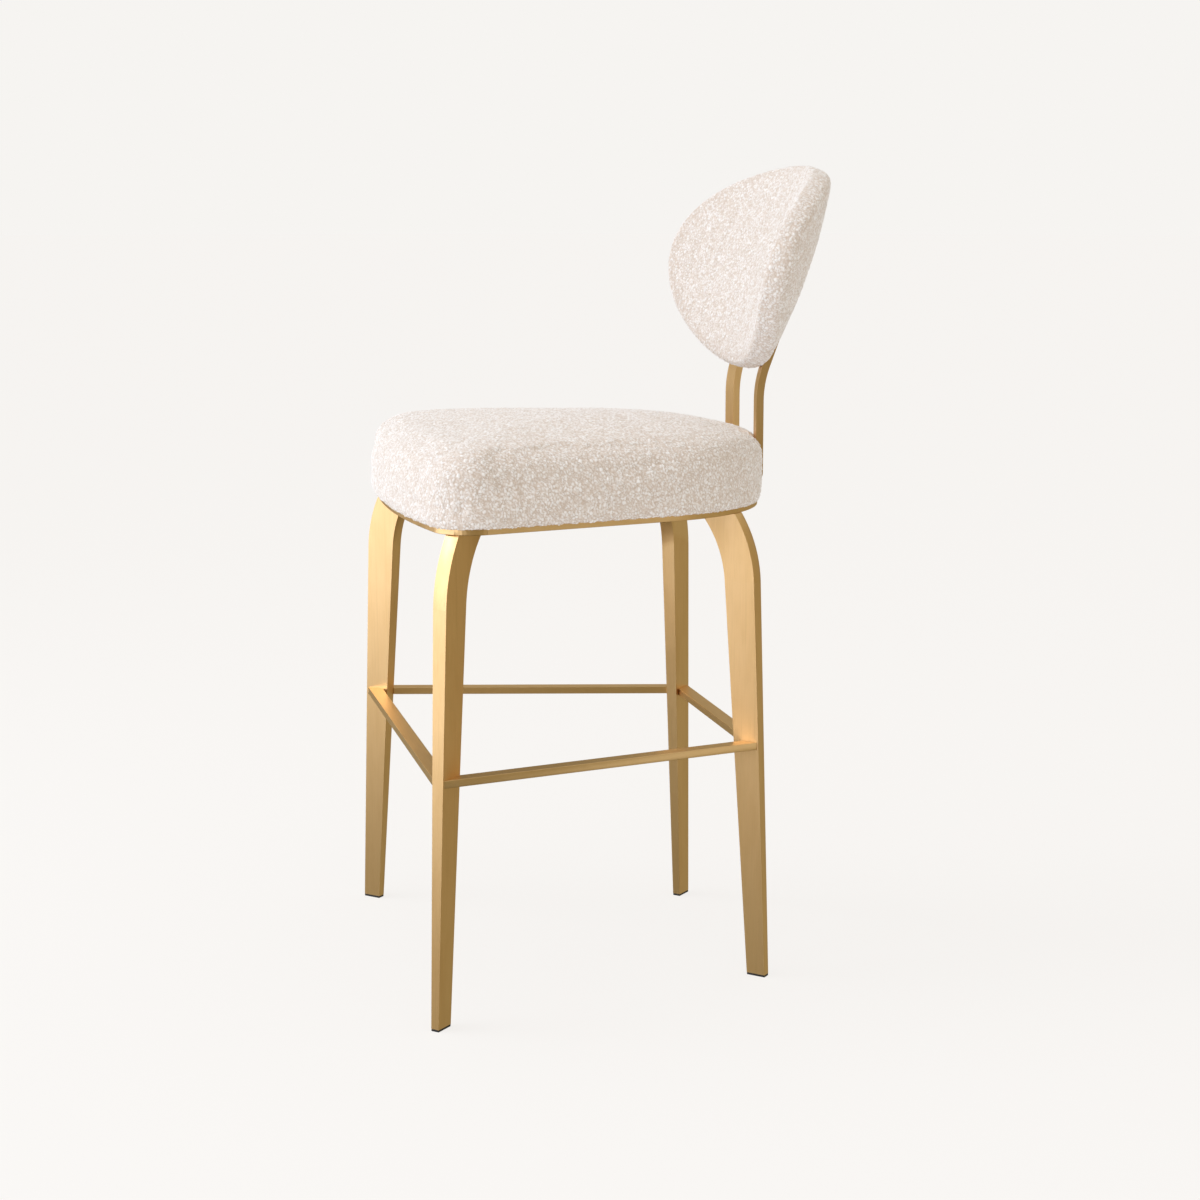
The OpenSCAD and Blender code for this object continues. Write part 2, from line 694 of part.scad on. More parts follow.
module cover_staples() {
    color(zinc) place() on_staple_places(cover_staple_inset) staple(rim_top - staple_d);
}

module dust_staples() {
    color(zinc) place() on_staple_places(dust_staple_inset) staple(dust_z - staple_d);
}

// Back pad

module pad_place() {
    translate([0, pad_y, pad_z]) rotate([-pad_recline, 0, 0]) children();
}

module pad_solid(c) {
    rings = pad_shape(c);
    middle = pad_t / 2 + pad_swell - c;
    pad_place() loft(rings, pad_point(0, 0, middle), pad_point(0, 0, -middle));
}

// The curved board without its holes
module pad_board_blank() {
    half_w = (pad_bend_r + board_front_off) * sin((pad_a - pad_board_inset) / pad_bend_r * 180 / PI);
    half_h = pad_b - pad_board_inset;
    sweep = 100;
    pad_place() intersection() {
        translate([0, -pad_bend_r, 0]) rotate([0, 0, 90 - sweep / 2]) rotate_extrude(angle = sweep, $fn = 180)
            translate([pad_bend_r + board_front_off, -pad_b]) square([pad_board_t, pad_h]);
        rotate([90, 0, 0]) translate([0, 0, -far / 2]) linear_extrude(far)
            polygon([for (i = [0:47]) [half_w * cos(7.5 * i), half_h * sin(7.5 * i)]]);
    }
}

module back_board() {
    color(wood) place() difference() {
        pad_board_blank();
        both_sides() upright_bar();
        on_back_screws() translate([0, 0, bar_t + pad_board_t]) mirror([0, 0, 1]) t_nut_seat(pad_board_t + 1);
    }
}

module back_foam() {
    color(foam) place() difference() {
        pad_solid(cover_t);
        pad_board_blank();
        both_sides() upright_bar();
        on_back_screws() {
            translate([0, 0, bar_t + pad_board_t - flange_t])
                cylinder(h = flange_t + 1, r = flange_r + set_gap);
            translate([0, 0, bar_t]) cylinder(h = pad_board_t + 1, r = screw_r + screw_gap);
        }
    }
}

module back_cover() {
    color(boucle) place() difference() {
        pad_solid(0);
        pad_solid(cover_t);
        both_sides() upright_slit(cushion_edge_z, far);
    }
}

module back_screws() {
    color(zinc) place() on_back_screws() {
        csk_head(0);
        cylinder(h = bar_t + pad_board_t - 1, r = screw_r);
    }
}

module back_t_nuts() {
    color(zinc) place() on_back_screws() translate([0, 0, bar_t + pad_board_t]) mirror([0, 0, 1]) t_nut();
}

front_left_leg();
front_right_leg();
rear_left_leg();
rear_right_leg();
front_left_glide();
front_right_glide();
rear_left_glide();
rear_right_glide();
front_footrest();
left_stretcher();
right_stretcher();
rear_stretcher();
front_rim();
left_rim();
right_rim();
front_left_plate();
front_right_plate();
rear_left_plate();
rear_right_plate();
left_upright();
right_upright();
seat_board();
seat_foam();
seat_cover();
dust_cover();
seat_screws();
seat_t_nuts();
foot_bolts();
foot_t_nuts();
cover_staples();
dust_staples();
back_board();
back_foam();
back_cover();
back_screws();
back_t_nuts();
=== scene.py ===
import math

import bmesh
import bpy
import numpy as np
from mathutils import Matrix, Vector, noise


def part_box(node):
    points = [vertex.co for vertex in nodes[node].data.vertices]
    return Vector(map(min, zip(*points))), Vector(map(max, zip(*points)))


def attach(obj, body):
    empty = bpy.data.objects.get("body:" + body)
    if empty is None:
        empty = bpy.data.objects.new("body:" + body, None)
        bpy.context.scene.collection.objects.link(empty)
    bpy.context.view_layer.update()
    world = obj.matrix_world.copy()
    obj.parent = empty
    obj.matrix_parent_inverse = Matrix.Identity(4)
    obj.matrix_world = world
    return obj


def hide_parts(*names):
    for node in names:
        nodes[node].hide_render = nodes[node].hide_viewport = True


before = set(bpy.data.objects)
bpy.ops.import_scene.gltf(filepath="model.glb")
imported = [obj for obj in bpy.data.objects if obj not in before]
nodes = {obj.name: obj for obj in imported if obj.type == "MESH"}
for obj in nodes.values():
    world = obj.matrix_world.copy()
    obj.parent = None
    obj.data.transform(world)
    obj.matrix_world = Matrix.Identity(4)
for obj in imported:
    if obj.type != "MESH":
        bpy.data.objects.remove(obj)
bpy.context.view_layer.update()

scene = bpy.context.scene
print("frame loaded:", len(nodes), "nodes")


# Shader maths: a Value is a socket, and an expression on values adds Math nodes

class Value:
    def __init__(self, graph, socket):
        self.graph = graph
        self.socket = socket

    def maths(self, operation, first, second):
        return self.graph.node("ShaderNodeMath", {"operation": operation}, {0: first, 1: second})

    def __add__(self, other):
        return self.maths("ADD", self, other)

    def __sub__(self, other):
        return self.maths("SUBTRACT", self, other)

    def __rsub__(self, other):
        return self.maths("SUBTRACT", other, self)

    def __mul__(self, other):
        return self.maths("MULTIPLY", self, other)

    __radd__ = __add__

    # 0 below low, 1 above high, and a smooth step between them
    def step(self, low, high):
        settings = {"interpolation_type": "SMOOTHSTEP"}
        inputs = {"Value": self, "From Min": low, "From Max": high}
        return self.graph.node("ShaderNodeMapRange", settings, inputs)


class Graph:
    def __init__(self, tree):
        self.tree = tree
        tree.nodes.clear()

    def node(self, kind, settings=None, inputs=None, output=0):
        made = self.tree.nodes.new(kind)
        for name, value in (settings or {}).items():
            setattr(made, name, value)
        for name, value in (inputs or {}).items():
            if isinstance(value, Value):
                self.tree.links.new(value.socket, made.inputs[name])
            else:
                made.inputs[name].default_value = value
        return Value(self, made.outputs[output] if len(made.outputs) else None)

    # Object coordinates, turned and then stretched
    def place(self, turn=(0, 0, 0), stretch=(1, 1, 1)):
        coords = self.node("ShaderNodeTexCoord", output="Object")
        turned = self.node("ShaderNodeMapping", inputs={"Vector": coords, "Rotation": turn})
        return self.node("ShaderNodeMapping", inputs={"Vector": turned, "Scale": stretch})

    def noise(self, vector, scale, detail=2.0, roughness=0.5, distortion=0.0):
        inputs = {"Vector": vector, "Scale": scale, "Detail": detail,
                  "Roughness": roughness, "Distortion": distortion}
        return self.node("ShaderNodeTexNoise", inputs=inputs)

    def mix(self, share, first, second):
        settings = {"data_type": "RGBA", "clamp_factor": True}
        return self.node("ShaderNodeMix", settings, {0: share, 6: first, 7: second}, output=2)

    def bump(self, height, strength, distance, under=None):
        inputs = {"Height": height, "Strength": strength, "Distance": distance}
        if under:
            inputs["Normal"] = under
        return self.node("ShaderNodeBump", inputs=inputs)


def newMaterial(name):
    material = bpy.data.materials.new(name)
    material.use_nodes = True
    return material, Graph(material.node_tree)


def finishMaterial(graph, **inputs):
    named = {name.replace("_", " "): value for name, value in inputs.items()}
    shader = graph.node("ShaderNodeBsdfPrincipled", inputs=named)
    graph.node("ShaderNodeOutputMaterial", inputs={"Surface": shader})


# Materials

brass = {
    "light": (0.820, 0.552, 0.268, 1),
    "deep": (0.735, 0.474, 0.208, 1),
    "stain": (0.48, 0.292, 0.112, 1),
    "worn": (0.88, 0.64, 0.35, 1),
    "roughness": 0.34,
    "brushing": (1500, 1500, 22),  # brush lines: fine across the bar, long along it
    "streaks": (300, 300, 5),
    "clouds": (26, 26, 7),
}


# turn brings the length of the bar onto Z
def brassFinish(name, turn=(0, 0, 0)):
    material, graph = newMaterial(name)
    brushing = graph.noise(graph.place(turn, brass["brushing"]), 1.0, 3.0, 0.65)
    streaks = graph.noise(graph.place(turn, brass["streaks"]), 1.0, 3.0, 0.55)
    clouds = graph.noise(graph.place(turn, brass["clouds"]), 1.0, 3.0, 0.55)
    flecks = graph.noise(graph.place(turn), 260, 3.0, 0.6)
    edge = graph.node("ShaderNodeNewGeometry", output="Pointiness").step(0.51, 0.56)
    colour = graph.mix(clouds.step(0.35, 0.70), brass["light"], brass["deep"])
    colour = graph.mix(brushing.step(0.40, 0.75) * 0.20, colour, brass["stain"])
    colour = graph.mix(streaks.step(0.52, 0.80) * 0.22, colour, brass["stain"])
    colour = graph.mix(flecks.step(0.64, 0.80) * 0.16, colour, brass["stain"])
    colour = graph.mix(edge * 0.5, colour, brass["worn"])
    roughness = brass["roughness"] + brushing * 0.12 + clouds * 0.06 - edge * 0.08
    height = brushing * 0.7 + streaks * 0.3
    finishMaterial(graph, Base_Color=colour, Metallic=1.0, Roughness=roughness,
                   Normal=graph.bump(height, 0.20, 0.00012))
    return material


boucle = {
    # The darkest colour is painted shade for the hollows between the curls; the palest is painted light
    # for the curl tops and also the real colour of the lighter fibres
    "hollowShade": (0.580, 0.478, 0.405, 1),
    "yarn": (0.825, 0.792, 0.778, 1),
    "tip": (0.890, 0.880, 0.882, 1),
    "fleck": (0.690, 0.600, 0.535, 1),
    "curls": 460,
    "fibres": 1700,
}


# The attribute read here is 0 in the hollows between the curls of yarn and 1 on their tops. The colour
# follows it: painted shade darkens the hollows and painted light brightens the tops, on top of the real
# relief of the curls
def boucleFabric():
    material, graph = newMaterial("boucle")
    place = graph.place()
    napShadeMask = graph.node("ShaderNodeAttribute", {"attribute_name": "napShadeMask"}, output="Fac")
    yarnTone = graph.node("ShaderNodeAttribute", {"attribute_name": "yarnTone"}, output="Fac")
    curls = graph.noise(place, boucle["curls"], 3.0, 0.6, 1.2)
    fibres = graph.noise(place, boucle["fibres"], 4.0, 0.7, 0.4)
    # Painted shade: the colour darkens from the yarn into the hollows between the curls; painted light:
    # it lightens towards the curl tops
    colour = graph.mix(napShadeMask.step(0.02, 0.55), boucle["hollowShade"], boucle["yarn"])
    colour = graph.mix(napShadeMask.step(0.45, 0.95) * 0.8, colour, boucle["tip"])
    colour = graph.mix(yarnTone.step(0.62, 0.95) * 0.45, colour, boucle["fleck"])
    colour = graph.mix(curls.step(0.58, 0.72) * 0.25, colour, boucle["fleck"])
    colour = graph.mix(fibres.step(0.55, 0.75) * 0.25, colour, boucle["tip"])
    loops = graph.bump(curls, 0.55, 0.0010)
    fuzz = graph.bump(fibres, 0.5, 0.0005, loops)
    finishMaterial(graph, Base_Color=colour, Roughness=0.95, Specular_IOR_Level=0.15,
                   Sheen_Weight=0.35, Sheen_Roughness=0.6, Sheen_Tint=(1.0, 0.96, 0.92, 1), Normal=fuzz)
    return material


glidePlastic = {"clean": (0.012, 0.012, 0.013, 1), "scuffed": (0.045, 0.043, 0.040, 1)}
dustThreads = {"dark": (0.010, 0.010, 0.011, 1), "light": (0.050, 0.048, 0.047, 1)}
zincSpangle = {"dark": (0.54, 0.55, 0.56, 1), "light": (0.70, 0.70, 0.69, 1)}
wood = {
    "light": (0.62, 0.43, 0.25, 1), "dark": (0.44, 0.27, 0.13, 1),
    "layer": (0.30, 0.17, 0.08, 1), "pore": (0.24, 0.13, 0.06, 1), "veneer": 0.0015,
}


def blackPlastic():
    material, graph = newMaterial("blackPlastic")
    place = graph.place()
    grain = graph.noise(place, 900, 3.0)
    scuffs = graph.noise(place, 60, 4.0, 0.7).step(0.55, 0.75)
    colour = graph.mix(scuffs * 0.5, glidePlastic["clean"], glidePlastic["scuffed"])
    finishMaterial(graph, Base_Color=colour, Roughness=0.42 + scuffs * 0.25,
                   Normal=graph.bump(grain, 0.3, 0.00015))
    return material


def blackCloth():
    material, graph = newMaterial("blackCloth")
    place = graph.place()
    threads = graph.noise(place, 1300, 3.0, 0.7, 2.0)
    blotches = graph.noise(place, 35, 3.0)
    spots = graph.node("ShaderNodeTexVoronoi", inputs={"Vector": place, "Scale": 620})
    share = threads * 0.5 + blotches * 0.3
    colour = graph.mix(share, dustThreads["dark"], dustThreads["light"])
    height = threads * 0.6 - spots.step(0.0, 0.45) * 0.4
    finishMaterial(graph, Base_Color=colour, Roughness=0.88, Specular_IOR_Level=0.2,
                   Normal=graph.bump(height, 0.5, 0.0003))
    return material


def zincPlate():
    material, graph = newMaterial("zincPlate")
    place = graph.place()
    spangle = graph.noise(place, 420, 3.0, 0.6)
    turned = graph.noise(graph.place(stretch=(60, 60, 2600)), 1.0, 1.0)
    colour = graph.mix(spangle, zincSpangle["dark"], zincSpangle["light"])
    finishMaterial(graph, Base_Color=colour, Metallic=1.0, Roughness=0.30 + spangle * 0.15,
                   Normal=graph.bump(turned, 0.15, 0.0001))
    return material


# Veneers show on the board's edge, and the face has grain along Y
def plywood():
    material, graph = newMaterial("boardPly")
    grain = graph.noise(graph.place(stretch=(160, 7, 160)), 1.0, 4.0, 0.6, 0.8)
    pores = graph.noise(graph.place(stretch=(900, 30, 900)), 1.0, 2.0)
    layers = graph.noise(graph.place(stretch=(0.001, 0.001, 1 / wood["veneer"])), 1.0, 0.0)
    colour = graph.mix(grain, wood["light"], wood["dark"])
    colour = graph.mix(layers.step(0.45, 0.55) * 0.35, colour, wood["layer"])
    colour = graph.mix(pores.step(0.6, 0.8) * 0.5, colour, wood["pore"])
    finishMaterial(graph, Base_Color=colour, Roughness=0.62 + grain * 0.15,
                   Normal=graph.bump(grain * 0.5 + pores * 0.5, 0.3, 0.0002))
    return material


acrossTurn = math.radians(90)
sideTurn = math.radians(13.5)
brassUp = brassFinish("brassUp")
brassAcross = brassFinish("brassAcross", (0, acrossTurn, 0))
brassLeft = brassFinish("brassLeft", (acrossTurn, 0, -sideTurn))
brassRight = brassFinish("brassRight", (acrossTurn, 0, sideTurn))
boucleCloth = boucleFabric()
blackGlide = blackPlastic()
blackDust = blackCloth()
zinc = zincPlate()
boardPly = plywood()

finishes = {
    brassUp: ["front_left_leg", "front_right_leg", "rear_left_leg", "rear_right_leg",
              "left_upright", "right_upright"],
    brassAcross: ["front_footrest", "rear_stretcher", "front_rim", "rear_left_plate",
                  "rear_right_plate", "front_left_plate", "front_right_plate"],
    brassLeft: ["left_stretcher", "left_rim"],
    brassRight: ["right_stretcher", "right_rim"],
    blackGlide: ["front_left_glide", "front_right_glide", "rear_left_glide", "rear_right_glide"],
    blackDust: ["dust_cover"],
    zinc: ["seat_screws", "seat_t_nuts", "foot_bolts", "foot_t_nuts", "cover_staples", "dust_staples",
           "back_screws", "back_t_nuts"],
    boardPly: ["seat_board", "back_board"],
}

edgeRound = {
    brassUp: 0.0009, brassAcross: 0.0007, brassLeft: 0.0007, brassRight: 0.0007, blackGlide: 0.0006,
}


# The welded triangles become flat faces again, so that their edges take a small round
def roundEdges(piece, width):
    weld = piece.modifiers.new("weld", "WELD")
    weld.merge_threshold = 0.00001
    flat = piece.modifiers.new("flat", "DECIMATE")
    flat.decimate_type = "DISSOLVE"
    flat.angle_limit = math.radians(0.3)
    bevel = piece.modifiers.new("bevel", "BEVEL")
    bevel.width = width
    bevel.segments = 3
    bevel.limit_method = "ANGLE"
    bevel.angle_limit = math.radians(32)
    bevel.use_clamp_overlap = True
    bevel.harden_normals = True


for material, names in finishes.items():
    for name in names:
        piece = nodes[name]
        piece.data.materials.clear()
        piece.data.materials.append(material)
        if material in edgeRound:
            roundEdges(piece, edgeRound[material])
print("metal, wood and plastic finished")


# Soft pieces

def arcPoints(centre, radius, start, end, steps):
    turns = [math.radians(start + (end - start) * i / steps) for i in range(steps + 1)]
    return [centre + radius * Vector((math.cos(t), math.sin(t))) for t in turns]


# Draws a sine or cosine towards a square corner where power is below 1
def squared(value, power):
    return math.copysign(abs(value) ** power, value)


# A closed form through rings of equally many points
def loftRings(name, rings):
    form = bmesh.new()
    loops = []
    for ring in rings:
        verts = [form.verts.new(point) for point in ring]
        loops.append([form.edges.new((a, b)) for a, b in zip(verts, verts[1:] + verts[:1])])
    for lower, upper in zip(loops, loops[1:]):
        bmesh.ops.bridge_loops(form, edges=lower + upper)
    bmesh.ops.holes_fill(form, edges=form.edges, sides=0)
    bmesh.ops.recalc_face_normals(form, faces=form.faces)
    mesh = bpy.data.meshes.new(name)
    form.to_mesh(mesh)
    form.free()
    piece = bpy.data.objects.new(name, mesh)
    scene.collection.objects.link(piece)
    return piece


# Moves the mesh so that its box has the same middle as the CAD node's, and, when side is "bottom", the
# same bottom
def centreOn(piece, node, side):
    low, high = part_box(node)
    points = readPoints(piece.data)
    middle = (points.min(0) + points.max(0)) / 2
    shift = np.array((low + high) / 2) - middle
    if side == "bottom":
        shift[2] = low.z - points[:, 2].min()
    writePoints(piece.data, points + shift)
    return shift


def readPoints(mesh):
    points = np.empty(len(mesh.vertices) * 3)
    mesh.vertices.foreach_get("co", points)
    return points.reshape(-1, 3)


def writePoints(mesh, points):
    mesh.vertices.foreach_set("co", points.astype(np.float32).ravel())
    mesh.update()


def readNormals(mesh):
    normals = np.empty(len(mesh.vertices) * 3, np.float32)
    mesh.vertex_normals.foreach_get("vector", normals)
    return normals.reshape(-1, 3)


def applyModifiers(piece):
    made = bpy.data.meshes.new_from_object(piece.evaluated_get(bpy.context.evaluated_depsgraph_get()))
    piece.modifiers.clear()
    piece.data = made


def voxelRemesh(piece, size):
    remesh = piece.modifiers.new("voxels", "REMESH")
    remesh.mode = "VOXEL"
    remesh.voxel_size = size
    remesh.use_smooth_shade = True
    applyModifiers(piece)


inflation = {"quality": 6, "mass": 0.4, "bending": 2.0, "damping": 5.0}


# Blows the cover up from inside, holding the pinned vertices, and lets no point move further than cap
def inflate(piece, soft, pins):
    start = readPoints(piece.data)
    group = piece.vertex_groups.new(name="pins")
    for i, weight in enumerate(pins(start)):
        if weight > 0:
            group.add([i], float(weight), "REPLACE")
    cloth = piece.modifiers.new("cloth", "CLOTH")
    settings = cloth.settings
    settings.quality = inflation["quality"]
    settings.mass = inflation["mass"]
    settings.tension_stiffness = settings.compression_stiffness = soft["stiffness"]
    settings.shear_stiffness = soft["stiffness"] / 2
    settings.bending_stiffness = inflation["bending"]
    settings.air_damping = inflation["damping"]
    settings.use_pressure = True
    settings.uniform_pressure_force = soft["pressure"]
    settings.vertex_group_mass = "pins"
    settings.effector_weights.gravity = 0
    cloth.point_cache.frame_start = 1
    cloth.point_cache.frame_end = soft["frames"]
    for frameNumber in range(1, soft["frames"] + 1):
        scene.frame_set(frameNumber)
    applyModifiers(piece)
    scene.frame_set(1)
    moved = readPoints(piece.data) - start
    length = np.linalg.norm(moved, axis=1, keepdims=True)
    share = np.minimum(1, soft["cap"] / np.maximum(length, 1e-9))
    writePoints(piece.data, start + moved * share)
    print(piece.name, "inflated: mean", round(float(length.mean()) * 1000, 2),
          "mm, most", round(float(length.max()) * 1000, 2), "mm")


def subdivide(piece, levels):
    smooth = piece.modifiers.new("subdivision", "SUBSURF")
    smooth.levels = smooth.render_levels = levels
    applyModifiers(piece)


# Curls of yarn: round cells of uneven size, with small curls on them
nap = {
    "cell": 0.0039, "smallCell": 0.0024, "warp": 0.0018, "warpSize": 0.006, "height": 0.0017,
    "smallHeight": 0.0006, "gain": 2.0, "smallGain": 2.2, "roundness": 0.65, "sink": 0.55,
    "creaseShadeDepth": 0.004, "creaseShadeMost": 0.8,
}


def raiseNap(piece, press):
    points = readPoints(piece.data)
    normals = readNormals(piece.data)
    pressed = press(points)
    napShadeMask = np.empty(len(points), np.float32)
    tone = np.empty(len(points), np.float32)
    lift = np.empty(len(points), np.float32)
    for i, point in enumerate(points.tolist()):
        point = Vector(point)
        bent = point + noise.noise_vector(point / nap["warpSize"]) * nap["warp"]
        near, places = noise.voronoi(bent / nap["cell"])
        fine = noise.voronoi(bent / nap["smallCell"])[0]
        bulk = min(1.0, (near[1] - near[0]) * nap["gain"]) ** nap["roundness"]
        bulk = bulk * (0.75 + 0.25 * noise.cell(places[0] * 3))
        curl = min(1.0, (fine[1] - fine[0]) * nap["smallGain"])
        tone[i] = 0.5 + 0.5 * noise.cell(places[0] * 5)
        # This mask sets how far the colour goes from painted shade in the hollows to painted light on
        # the curl tops
        napShadeMask[i] = bulk * (0.7 + 0.3 * curl)
        lift[i] = bulk * nap["height"] + curl * nap["smallHeight"]
    lift -= nap["height"] * nap["sink"]
    writePoints(piece.data, points + normals * (lift - pressed)[:, None])
    # Where the cover is pressed in, at the seam and beside the uprights, the mask falls towards the
    # hollows: painted shade in the creases
    napShadeMask *= 1 - np.clip(pressed / nap["creaseShadeDepth"], 0, nap["creaseShadeMost"])
    for name, values in (("napShadeMask", napShadeMask), ("yarnTone", tone)):
        attribute = piece.data.attributes.new(name, "FLOAT", "POINT")
        attribute.data.foreach_set("value", values)


# Section of an upright beside the seat, between the heights low and high
upright = {"low": 0.770, "high": 0.780, "halfWidth": 0.0125, "halfThickness": 0.005, "turn": -9.19}


def barMiddle(node):
    points = readPoints(nodes[node].data)
    return points[(points[:, 2] > upright["low"]) & (points[:, 2] < upright["high"])].mean(0)


# How deep the cover is drawn in beside the uprights
def barTuck(points, depth, reach):
    pressed = np.zeros(len(points))
    for node, side in (("left_upright", 1), ("right_upright", -1)):
        middle = barMiddle(node)
        turn = math.radians(upright["turn"]) * side
        dx = points[:, 0] - middle[0]
        dy = points[:, 1] - middle[1]
        across = np.abs(dx * math.cos(turn) + dy * math.sin(turn))
        along = np.abs(-dx * math.sin(turn) + dy * math.cos(turn))
        gap = np.hypot(np.maximum(across - upright["halfWidth"], 0),
                       np.maximum(along - upright["halfThickness"], 0))
        pressed = np.maximum(pressed, depth * np.exp(-(gap / reach) ** 2))
    return pressed


seat = {
    "rearRadius": 0.222, "depth": 0.513, "taper": 13.5, "bowRadius": 1.280, "cornerRadius": 0.050,
    "edgeHeight": 0.096, "crown": 0.018, "bulge": 0.009, "rollWidth": 0.044, "rollHeight": 0.036,
    "rollPower": 0.95, "tuckRadius": 0.040, "slack": 0.003, "voxel": 0.005,
    "stiffness": 25, "pressure": 4.0, "frames": 20, "cap": 0.005,
    "seamHeight": 0.079, "seamDepth": 0.0003, "seamWidth": 0.0040,
    "tuckAngle": 40, "holdHeight": 0.009, "holdFade": 0.004,
    "barHold": 0.008, "barTuckDepth": 0.003, "barTuckReach": 0.006,
    "lipHeight": 0.026, "lipOut": 0.0055, "lipDrop": 0.0035,  # the fabric hangs over the rim's edge
    "lipOutFade": 0.008, "lipDropFade": 0.003, "lipClear": 0.035, "rimEdge": 0.0012,
}


def seatOutline(inset):
    frontY = seat["rearRadius"] - seat["depth"]
    bow = Vector((0, frontY + seat["bowRadius"]))
    taper = seat["taper"]
    out = Vector((math.cos(math.radians(taper)), math.sin(math.radians(taper))))
    down = Vector((out.y, -out.x))
    start = (seat["rearRadius"] - seat["cornerRadius"]) * out
    gap = start - bow
    along = gap.dot(down)
    reach = seat["bowRadius"] - seat["cornerRadius"]
    corner = start + down * (math.sqrt(along ** 2 - gap.dot(gap) + reach ** 2) - along)
    end = math.degrees(math.atan2(corner.y - bow.y, corner.x))
    mirrored = Vector((-corner.x, corner.y))
    radius = seat["cornerRadius"] - inset
    return (arcPoints(Vector((0, 0)), seat["rearRadius"] - inset, taper, 180 - taper, 40)
            + arcPoints(mirrored, radius, 180 - taper, 180 - end, 10)
            + arcPoints(bow, seat["bowRadius"] - inset, -180 - end, end, 24)[1:-1]
            + arcPoints(corner, radius, end, taper, 10))


def seatRings(slack):
    middleY = seat["rearRadius"] - seat["depth"] / 2
    edge = seat["edgeHeight"]

    def ring(inset, z, size=1.0):
        return [Vector((p.x * size, middleY + (p.y - middleY) * size, z)) for p in seatOutline(inset)]

    rings = []
    lowTurn = math.radians(seat["tuckAngle"])
    for share in (0, 0.4, 0.75, 1):
        a = lowTurn * (share - 1)
        inset = seat["tuckRadius"] * (1 - math.cos(a)) - seat["bulge"] + slack * share
        rings.append(ring(inset, seat["tuckRadius"] * (math.sin(a) + math.sin(lowTurn))))
    for turn in range(0, 91, 15):
        a = math.radians(turn)
        inset = seat["rollWidth"] * (1 - squared(math.cos(a), seat["rollPower"])) - seat["bulge"] + slack
        lift = squared(math.sin(a), seat["rollPower"])
        rings.append(ring(inset, edge - seat["rollHeight"] * (1 - lift) - slack * lift))
    for size in (0.8, 0.6, 0.4, 0.2):
        inset = seat["rollWidth"] - seat["bulge"] + slack
        rings.append(ring(inset, edge + seat["crown"] * (1 - size ** 2) - slack, size))
    return rings


# How far each point stands out past the rim's outline, and in which direction that is
def pastRim(points, middleY):
    outline = np.array([(p.x, p.y) for p in seatOutline(0)])
    following = np.roll(outline, -1, axis=0)
    edge = following - outline
    length = np.linalg.norm(edge, axis=1)
    outward = np.stack((edge[:, 1], -edge[:, 0]), axis=1) / length[:, None]
    distance = np.full(len(points), -1.0)
    direction = np.zeros((len(points), 2))
    best = np.full(len(points), 1e9)
    flat = points[:, :2] - np.array((0, middleY))
    for a, run, size, out in zip(outline, edge, length, outward):
        share = np.clip(((flat - a) @ run) / size ** 2, 0, 1)
        gap = flat - (a + share[:, None] * run)
        reach = np.linalg.norm(gap, axis=1)
        nearer = reach < best
        best[nearer] = reach[nearer]
        distance[nearer] = (reach * np.sign(gap @ out))[nearer]
        direction[nearer] = out
    return distance, direction


def smoothStep(value):
    value = np.clip(value, 0, 1)
    return value * value * (3 - 2 * value)


# The lower edge of the cushion stands out past the rim and hangs a little over it
def hangLip(piece, base, middleY):
    points = readPoints(piece.data)
    low = np.flatnonzero(points[:, 2] < base + seat["lipHeight"])
    part = points[low]
    past, out = pastRim(part, middleY)
    fade = smoothStep(1 - (part[:, 2] - base) / seat["lipHeight"])
    push = seat["lipOut"] * fade * smoothStep(past / seat["lipOutFade"] + 1)
    push = push * (1 - barTuck(part, 1, seat["lipClear"]))
    part[:, :2] += out * push[:, None]
    past += push
    part[:, 2] -= seat["lipDrop"] * fade * smoothStep(past / seat["lipDropFade"] - 0.3)
    held = past < seat["rimEdge"]
    part[held, 2] = np.maximum(part[held, 2], base)
    points[low] = part
    writePoints(piece.data, points)


def makeSeatCushion():
    slack = seat["slack"]
    piece = loftRings("seatCushion", seatRings(slack))
    shift = centreOn(piece, "seat_cover", "bottom")
    voxelRemesh(piece, seat["voxel"])
    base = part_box("seat_cover")[0].z

    def pins(points):
        held = np.clip((base + seat["holdHeight"] - points[:, 2]) / seat["holdFade"], 0, 1)
        return np.maximum(held, barTuck(points, 1.0, seat["barHold"]))

    inflate(piece, seat, pins)
    subdivide(piece, 2)

    def press(points):
        above = (points[:, 2] - base - seat["seamHeight"]) / seat["seamWidth"]
        seam = seat["seamDepth"] * np.exp(-above ** 2)
        tuck = barTuck(points, seat["barTuckDepth"], seat["barTuckReach"])
        return np.maximum(seam, tuck)

    hangLip(piece, base, shift[1])
    raiseNap(piece, press)
    points = readPoints(piece.data)
    inside = pastRim(points, shift[1])[0] < seat["rimEdge"]
    points[inside, 2] = np.maximum(points[inside, 2], base)  # the underside lies flat on the rim
    writePoints(piece.data, points)
    return piece


pad = {
    "width": 0.526, "height": 0.288, "bendRadius": 0.417, "recline": 19.5, "thickness": 0.040,
    "swell": 0.0065, "bow": 0.007, "edgePower": 0.55, "slack": 0.003, "voxel": 0.005,
    "stiffness": 25, "pressure": 4.0, "frames": 20, "cap": 0.005, "edgeHold": 0.10,
    "barPitch": 0.138, "barReach": 0.014, "barTop": 0.03,
    "seamOff": -0.0165, "seamDepth": 0.0008, "seamWidth": 0.0030, "seamRim": 0.85, "seamFade": 0.1,
    "ringPoints": 96,
}


